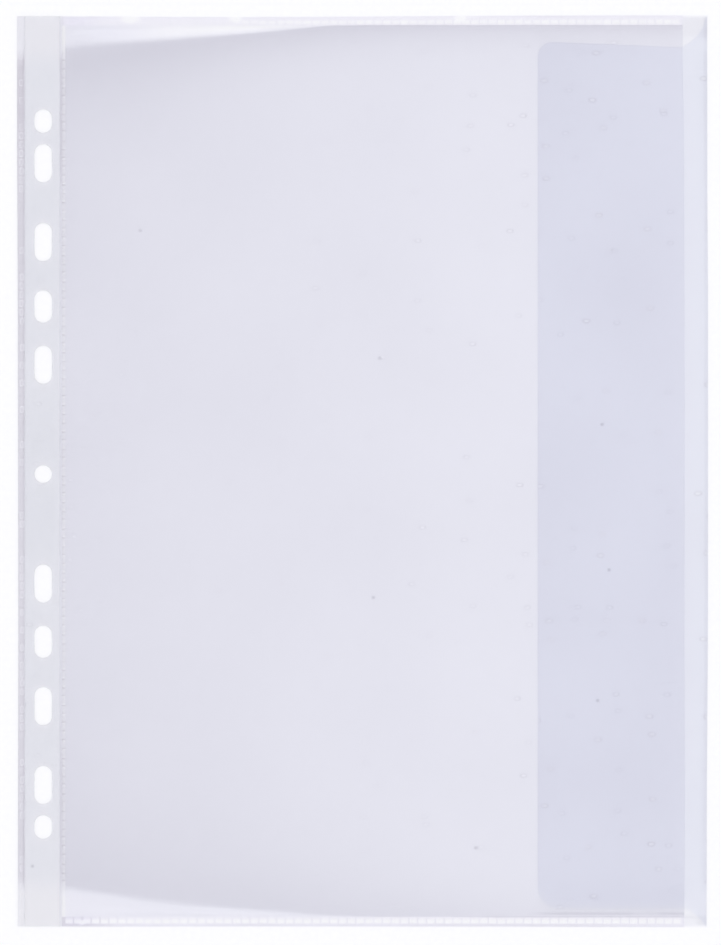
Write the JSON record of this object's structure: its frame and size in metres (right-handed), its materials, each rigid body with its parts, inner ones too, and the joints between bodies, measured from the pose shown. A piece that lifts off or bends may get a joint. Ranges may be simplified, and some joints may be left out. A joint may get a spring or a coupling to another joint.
{
  "type": "sheet protector",
  "caption": "Clear film pocket for loose pages, with a reinforced margin punched for ring binders, welded edges, a mouth at the side and a flap folded in at the mouth.",
  "frame": {"origin": "centre of the back face, which lies on the table", "axes": "+X from the punched margin towards the mouth, +Y up the page, +Z out of the front film"},
  "size_m": [0.235, 0.31, 0.0006],
  "materials": {
    "clear_film": "clear polypropylene film with a fine embossed grain",
    "strip": "milky, satin",
    "weld": "fused film, pressed with a fine pattern"
  },
  "bodies": {
    "margin": {"margin_back_film": "clear_film", "margin_front_film": "clear_film", "reinforcement_strip": "strip", "spine_outer_weld": "weld", "spine_flex_line": "clear_film"},
    "page": {"page_back_film": "clear_film", "page_front_film": "clear_film", "spine_inner_weld": "weld", "top_weld": "weld", "bottom_weld": "weld", "flap_crease": "clear_film"},
    "mouth": {"front_mouth": "clear_film"},
    "flap": {"flap_leaf": "clear_film"}
  },
  "joints": [
    {"name": "page_flex", "type": "hinge", "parent": "margin", "child": "page", "pos_m": [-0.10255, 0, 0.00031], "axis": [0, -1, 0], "range_deg": [0, 90]},
    {"name": "mouth_lift", "type": "hinge", "parent": "page", "child": "mouth", "pos_m": [-0.01, 0, 0.00057], "axis": [0, -1, 0], "range_deg": [0, 14], "stiffness_Nm_per_rad": 0.002},
    {"name": "flap_fold", "type": "hinge", "parent": "page", "child": "flap", "pos_m": [0.11732, 0, 0.00018], "axis": [0, 1, 0], "range_deg": [0, 180], "deforming": ["front_mouth"]}
  ]
}
